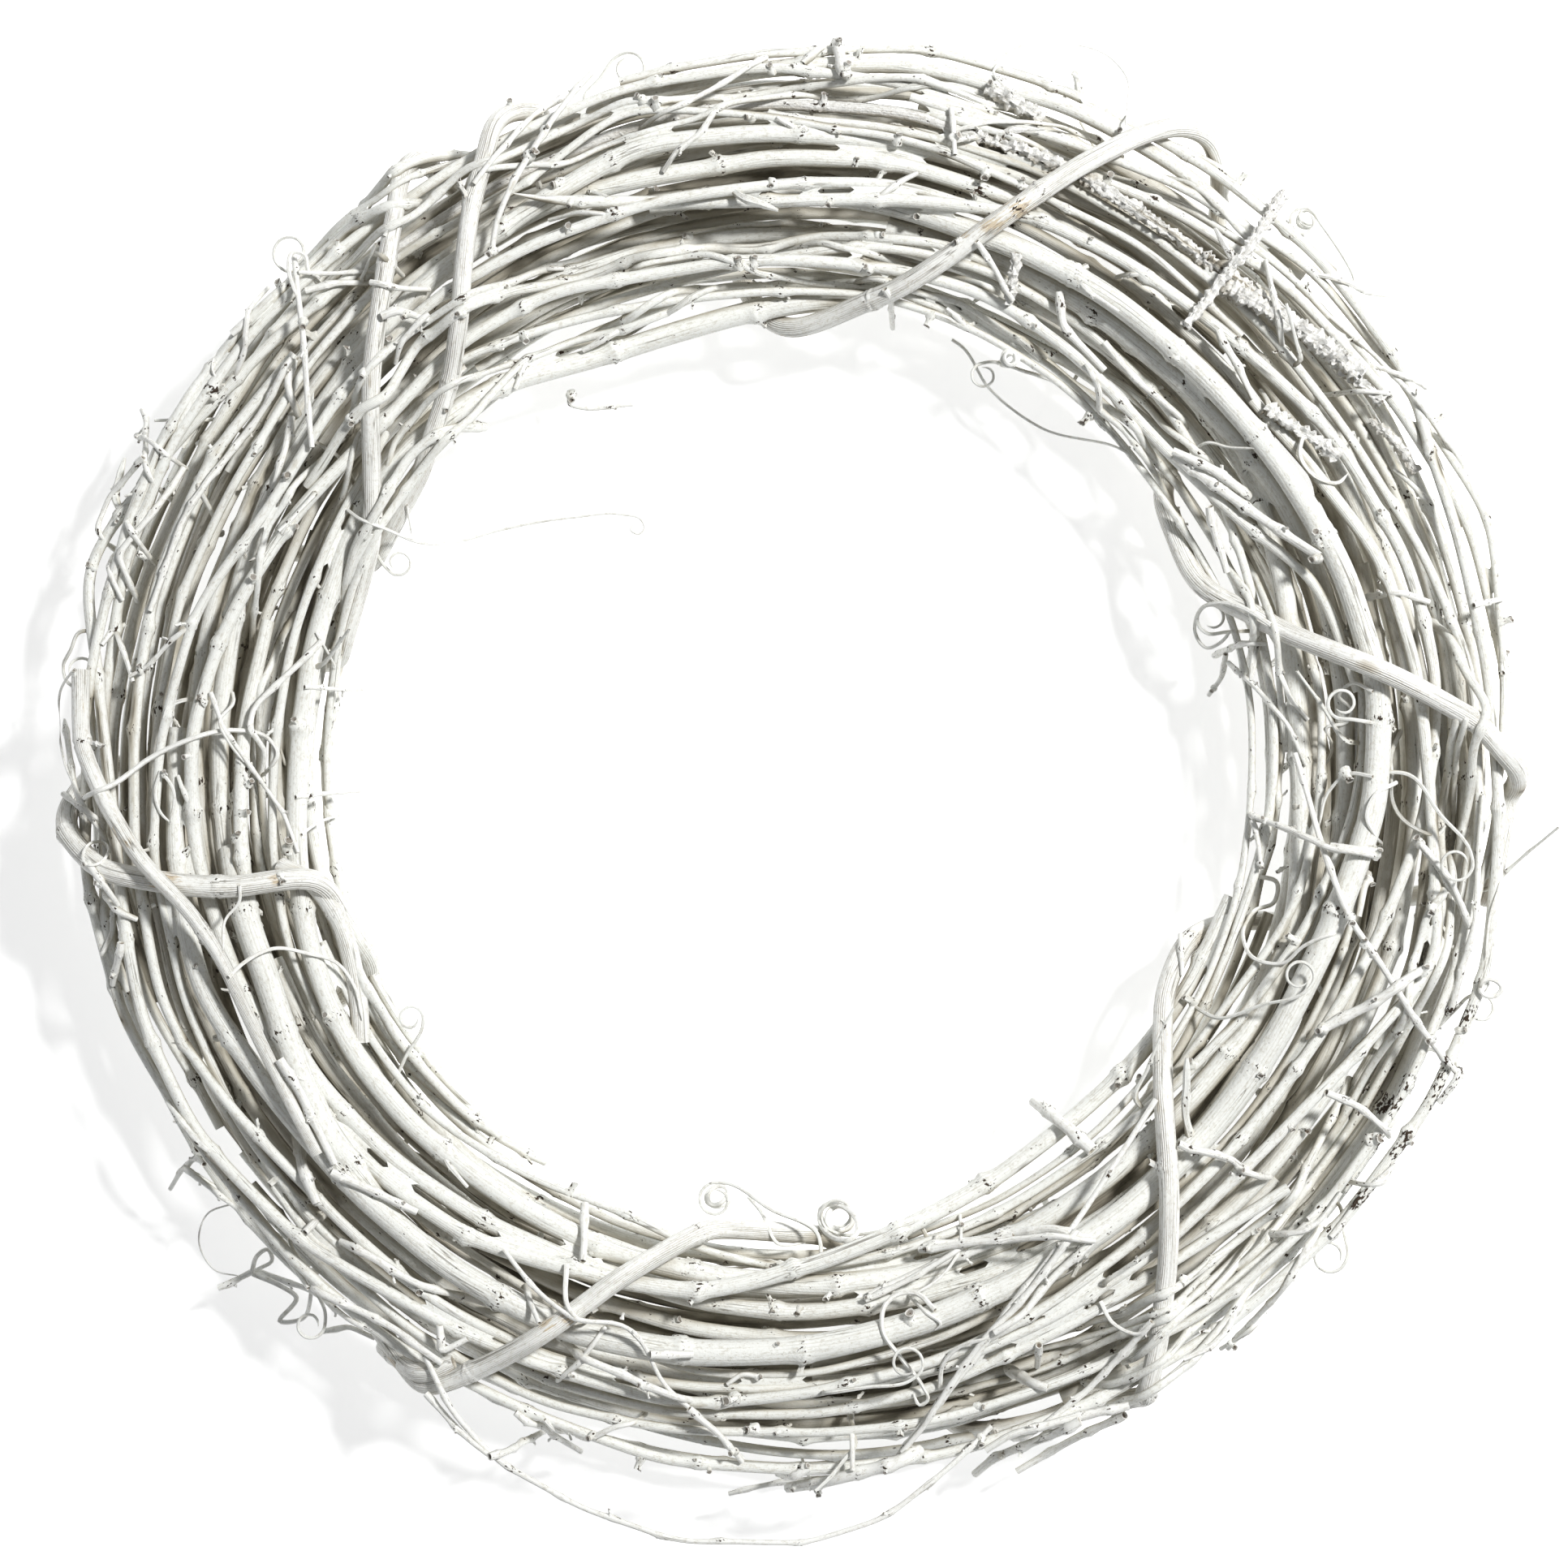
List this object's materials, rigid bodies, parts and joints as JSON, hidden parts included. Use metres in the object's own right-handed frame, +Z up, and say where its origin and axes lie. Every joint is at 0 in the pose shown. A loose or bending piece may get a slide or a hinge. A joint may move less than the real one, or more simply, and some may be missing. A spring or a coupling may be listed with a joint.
{
  "type": "grapevine wreath",
  "caption": "Round wreath of long bare grapevine canes wound in a loose ring, bound with shorter vines, with twigs and curled tendrils, painted matt white.",
  "frame": {"origin": "on the floor under the middle of the wreath's bounding box, lying face up", "axes": "+Z up out of the face, along the ring's axis; +Y is the top of the wreath as it is seen from above"},
  "size_m": [0.521, 0.5236, 0.0849],
  "materials": {
    "cane_whitewashed": "matt whitewash",
    "binding_vine_whitewashed": "matt whitewash worn to tan on the high parts",
    "twig_whitewashed": "matt whitewash",
    "rough_bark_whitewashed": "thick crumbly whitewash over corky bark"
  },
  "bodies": {
    "root": {"binding_vine_left": "binding_vine_whitewashed", "binding_vine_lower_left": "binding_vine_whitewashed", "binding_vine_lower_right": "binding_vine_whitewashed", "binding_vine_right": "binding_vine_whitewashed", "binding_vine_top": "binding_vine_whitewashed", "binding_vine_upper_left_a": "binding_vine_whitewashed", "binding_vine_upper_left_b": "binding_vine_whitewashed", "cane_01_thick_right": "cane_whitewashed", "cane_02_thick_inner": "cane_whitewashed", "cane_03_low_inner": "cane_whitewashed", "cane_04_middle": "cane_whitewashed", "cane_05_outer_kinks": "cane_whitewashed", "cane_06_kinked_lower_right": "cane_whitewashed", "cane_07_cut_at_lower_right": "cane_whitewashed", "cane_08_outer_right": "cane_whitewashed", "cane_09_outer_bottom": "cane_whitewashed", "cane_10_outer_upper_right": "cane_whitewashed", "cane_11_upper_right": "cane_whitewashed", "cane_12_upper_edge": "cane_whitewashed", "cane_13_upper_middle": "cane_whitewashed", "cane_14_upper_thick": "cane_whitewashed", "cane_15_inner_edge_right": "cane_whitewashed", "cane_16_inner_right": "cane_whitewashed", "cane_17_inner_left": "cane_whitewashed", "cane_18_beside_inner": "cane_whitewashed", "cane_19_bottom_thin": "cane_whitewashed", "cane_20_upper_left_edge": "cane_whitewashed", "cane_21_spotted": "cane_whitewashed", "cane_22_outer_thin": "cane_whitewashed", "cane_23_core": "cane_whitewashed", "cane_24_core": "cane_whitewashed", "cane_25_core": "cane_whitewashed", "cane_26_core": "cane_whitewashed", "cane_27_core": "cane_whitewashed", "cane_28_core": "cane_whitewashed", "cane_29_core": "cane_whitewashed", "cane_30_core": "cane_whitewashed", "cane_31_core": "cane_whitewashed", "cane_32_core": "cane_whitewashed", "cane_33_core": "cane_whitewashed", "cane_34_core": "cane_whitewashed", "cane_35_core": "cane_whitewashed", "cane_36_core": "cane_whitewashed", "cane_37_core": "cane_whitewashed", "cane_38_core": "cane_whitewashed", "cane_39_core": "cane_whitewashed", "cane_40_core": "cane_whitewashed", "cane_41_core": "cane_whitewashed", "laid_stick_rough": "rough_bark_whitewashed", "laid_twig_bottom_loop": "twig_whitewashed", "laid_twig_lower_right": "twig_whitewashed", "laid_twig_right": "twig_whitewashed", "laid_twig_top": "twig_whitewashed", "laid_twig_upper_left": "twig_whitewashed", "laid_vine_left": "binding_vine_whitewashed", "long_tendril_bottom": "twig_whitewashed", "rough_cane_cut_at_right": "rough_bark_whitewashed"}
  },
  "joints": []
}
